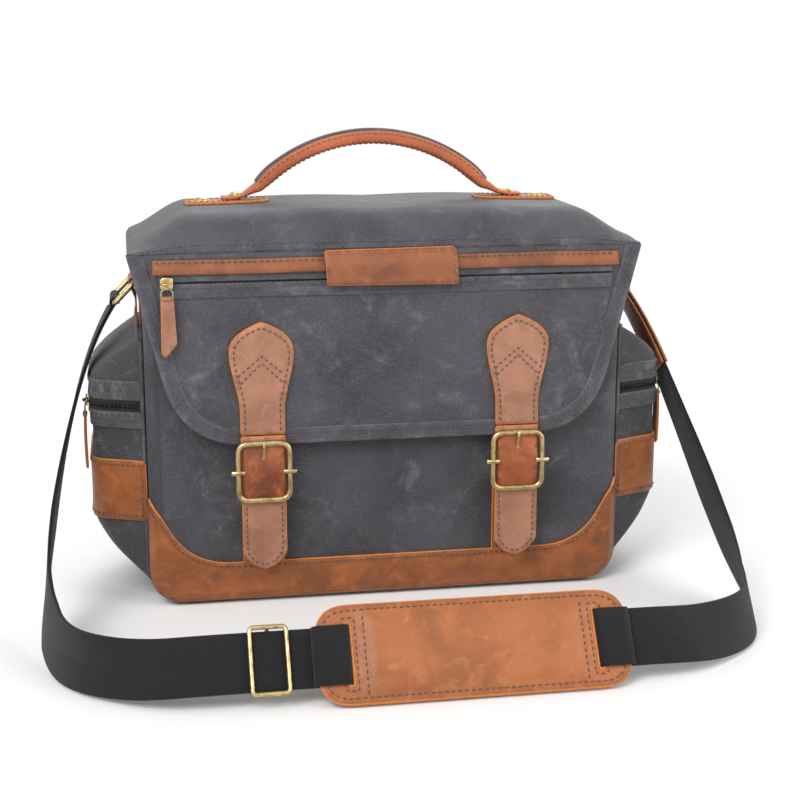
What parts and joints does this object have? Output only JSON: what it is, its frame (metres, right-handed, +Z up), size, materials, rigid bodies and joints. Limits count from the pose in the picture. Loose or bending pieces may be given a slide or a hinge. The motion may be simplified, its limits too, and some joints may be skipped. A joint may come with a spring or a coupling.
{
  "type": "camera bag",
  "caption": "Free-standing camera shoulder bag: padded case, hinged front flap with buckle straps, side pockets, carrying handle, divided insert and shoulder strap",
  "frame": {"origin": "on the floor under the middle of the case, in the plane of the case's base", "axes": "+X to the viewer's right along the bag's width, -Y out of the front with the flap, +Z up"},
  "size_m": [0.5008, 0.3485, 0.34],
  "materials": {
    "canvas": "charcoal waxed canvas, satin, with paler rubbed creases",
    "lining": "plain woven rust-pink lining cloth",
    "insert_cloth": "short-pile orange padded cloth",
    "board": "black stiffening board",
    "oiled_leather": "pull-up oiled tan leather with raw orange edges",
    "strap_leather": "matt brown leather",
    "handle_leather": "smooth orange-tan leather",
    "brass": "antique brass, darkened in the recesses",
    "zip_tape": "black herringbone zip tape",
    "webbing": "black ribbed webbing"
  },
  "bodies": {
    "case": {"front_panel": "canvas", "back_panel": "canvas", "left_gusset": "canvas", "right_gusset": "canvas", "base_panel": "canvas", "base_board": "board", "lining": "lining", "mouth_hem": "canvas", "front_leather_trim": "oiled_leather", "back_leather_trim": "oiled_leather", "front_strips": "strap_leather", "snap_studs": "brass", "front_zip_tape": "zip_tape", "inner_zip_tape": "zip_tape", "left_pocket": "canvas", "right_pocket": "canvas", "left_pocket_band": "oiled_leather", "right_pocket_band": "oiled_leather", "left_pocket_zip_tape": "zip_tape", "right_pocket_zip_tape": "zip_tape", "insert_tray": "insert_cloth", "left_ring_tab": "oiled_leather", "right_ring_tab": "oiled_leather", "left_ring": "brass", "right_ring": "brass", "tab_rivets": "brass", "strap_webbing": "webbing", "strap_chape": "oiled_leather"},
    "flap_top": {"flap_top_panel": "canvas", "handle_tab_left": "handle_leather", "handle_tab_right": "handle_leather", "handle_studs": "brass"},
    "handle": {"handle": "handle_leather"},
    "flap_front": {"flap_front_panel": "canvas", "flap_hem": "canvas", "flap_welt": "oiled_leather", "flap_patch": "oiled_leather", "flap_zip_tape": "zip_tape", "strap_spades": "strap_leather"},
    "flap_zip_slider": {"flap_zip_slider": "brass"},
    "flap_zip_pull": {"flap_zip_pull": "oiled_leather"},
    "strap_left": {"strap_tail_left": "strap_leather", "buckle_left": "brass"},
    "prong_left": {"prong_left": "brass"},
    "strap_right": {"strap_tail_right": "strap_leather", "buckle_right": "brass"},
    "prong_right": {"prong_right": "brass"},
    "front_zip_slider": {"front_zip_slider": "brass"},
    "front_zip_pull": {"front_zip_pull": "oiled_leather"},
    "inner_zip_slider": {"inner_zip_slider": "brass"},
    "inner_zip_pull": {"inner_zip_pull": "oiled_leather"},
    "left_pocket_zip_slider": {"left_pocket_zip_slider": "brass"},
    "left_pocket_zip_pull": {"left_pocket_zip_pull": "oiled_leather"},
    "right_pocket_zip_slider": {"right_pocket_zip_slider": "brass"},
    "right_pocket_zip_pull": {"right_pocket_zip_pull": "oiled_leather"},
    "divider_left": {"divider_left": "insert_cloth"},
    "divider_right": {"divider_right": "insert_cloth"},
    "strap_triglide": {"strap_triglide": "brass"},
    "shoulder_pad": {"shoulder_pad": "oiled_leather"}
  },
  "joints": [
    {"name": "flap_hinge", "type": "hinge", "parent": "case", "child": "flap_top", "pos_m": [0, 0.0745, 0.2595], "axis": [-1, 0, 0], "range_deg": [0, 190]},
    {"name": "flap_fold", "type": "hinge", "parent": "flap_top", "child": "flap_front", "pos_m": [0, -0.0845, 0.266], "axis": [-1, 0, 0], "range_deg": [0, 150]},
    {"name": "handle_tilt", "type": "hinge", "parent": "flap_top", "child": "handle", "pos_m": [0, 0.004, 0.2943], "axis": [1, 0, 0], "range_deg": [-35, 35]},
    {"name": "flap_zip_run", "type": "slide", "parent": "flap_front", "child": "flap_zip_slider", "axis": [1, 0, 0], "range_m": [0, 0.315]},
    {"name": "flap_zip_swing", "type": "hinge", "parent": "flap_zip_slider", "child": "flap_zip_pull", "pos_m": [-0.1575, -0.0864, 0.2406], "axis": [0, 1, 0], "range_deg": [-50, 50]},
    {"name": "strap_left_lift", "type": "hinge", "parent": "flap_front", "child": "strap_left", "pos_m": [-0.093, -0.0859, 0.13], "axis": [-1, 0, 0], "range_deg": [0, 85]},
    {"name": "prong_left_swing", "type": "hinge", "parent": "strap_left", "child": "prong_left", "pos_m": [-0.093, -0.0895, 0.104], "axis": [1, 0, 0], "range_deg": [0, 110]},
    {"name": "strap_right_lift", "type": "hinge", "parent": "flap_front", "child": "strap_right", "pos_m": [0.093, -0.0859, 0.13], "axis": [-1, 0, 0], "range_deg": [0, 85]},
    {"name": "prong_right_swing", "type": "hinge", "parent": "strap_right", "child": "prong_right", "pos_m": [0.093, -0.0895, 0.104], "axis": [1, 0, 0], "range_deg": [0, 110]},
    {"name": "front_zip_run", "type": "slide", "parent": "case", "child": "front_zip_slider", "axis": [1, 0, 0], "range_m": [0, 0.134]},
    {"name": "front_zip_swing", "type": "hinge", "parent": "front_zip_slider", "child": "front_zip_pull", "pos_m": [-0.0682, -0.075, 0.203], "axis": [0, 1, 0], "range_deg": [-50, 50]},
    {"name": "inner_zip_run", "type": "slide", "parent": "case", "child": "inner_zip_slider", "axis": [1, 0, 0], "range_m": [0, 0.2]},
    {"name": "inner_zip_swing", "type": "hinge", "parent": "inner_zip_slider", "child": "inner_zip_pull", "pos_m": [-0.101, 0.0595, 0.226], "axis": [0, 1, 0], "range_deg": [-50, 50]},
    {"name": "left_pocket_zip_run", "type": "slide", "parent": "case", "child": "left_pocket_zip_slider", "axis": [0, 1, 0], "range_m": [0, 0.062]},
    {"name": "left_pocket_zip_swing", "type": "hinge", "parent": "left_pocket_zip_slider", "child": "left_pocket_zip_pull", "pos_m": [-0.218, -0.031, 0.149], "axis": [1, 0, 0], "range_deg": [-50, 50]},
    {"name": "right_pocket_zip_run", "type": "slide", "parent": "case", "child": "right_pocket_zip_slider", "axis": [0, 1, 0], "range_m": [0, 0.062]},
    {"name": "right_pocket_zip_swing", "type": "hinge", "parent": "right_pocket_zip_slider", "child": "right_pocket_zip_pull", "pos_m": [0.218, -0.031, 0.149], "axis": [1, 0, 0], "range_deg": [-50, 50]},
    {"name": "divider_left_move", "type": "slide", "parent": "case", "child": "divider_left", "axis": [1, 0, 0], "range_m": [-0.07, 0.03]},
    {"name": "divider_right_move", "type": "slide", "parent": "case", "child": "divider_right", "axis": [1, 0, 0], "range_m": [-0.03, 0.07]},
    {"name": "triglide_adjust", "type": "slide", "parent": "case", "child": "strap_triglide", "axis": [1, 0, 0], "range_m": [-0.01, 0.01]},
    {"name": "pad_shift", "type": "slide", "parent": "case", "child": "shoulder_pad", "axis": [1, 0, 0], "range_m": [-0.006, 0.006]}
  ]
}
